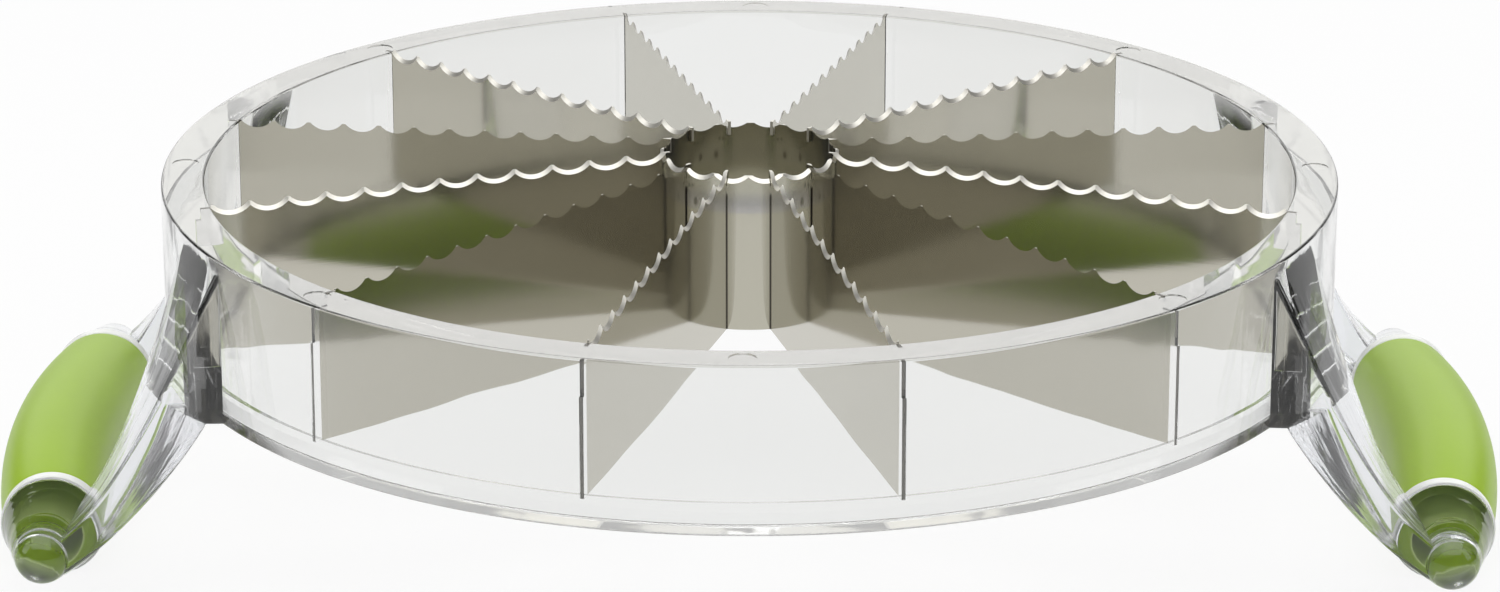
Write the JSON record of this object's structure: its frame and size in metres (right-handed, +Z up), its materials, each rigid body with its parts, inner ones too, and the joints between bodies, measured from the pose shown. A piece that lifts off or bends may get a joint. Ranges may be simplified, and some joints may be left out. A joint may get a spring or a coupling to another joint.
{
  "type": "melon slicer",
  "caption": "Push-down melon slicer: serrated steel blades run from a core ring to a clear moulded ring with two soft-gripped side handles.",
  "frame": {"origin": "centre of the footprint, at the height of the surface that the grips' collars stand on", "axes": "+Z up along the ring's axis with the blades' teeth upwards, X through the two grips, Y along the grips"},
  "size_m": [0.3598, 0.28, 0.09],
  "materials": {
    "clear_plastic": "clear, polished",
    "core_steel": "polished steel tube",
    "blade_steel": "bright satin steel with a ground edge",
    "green_grip": "soft satin lime green",
    "pale_collar": "off-white gloss"
  },
  "bodies": {
    "root": {"ring_frame": "clear_plastic", "core_ring": "core_steel", "blade_01": "blade_steel", "blade_02": "blade_steel", "blade_03": "blade_steel", "blade_04": "blade_steel", "blade_05": "blade_steel", "blade_06": "blade_steel", "blade_07": "blade_steel", "blade_08": "blade_steel", "blade_09": "blade_steel", "blade_10": "blade_steel", "blade_11": "blade_steel", "blade_12": "blade_steel", "left_handle_frame": "clear_plastic", "right_handle_frame": "clear_plastic", "left_grip": "green_grip", "right_grip": "green_grip", "left_front_collar": "pale_collar", "left_rear_collar": "pale_collar", "right_front_collar": "pale_collar", "right_rear_collar": "pale_collar"}
  },
  "joints": []
}
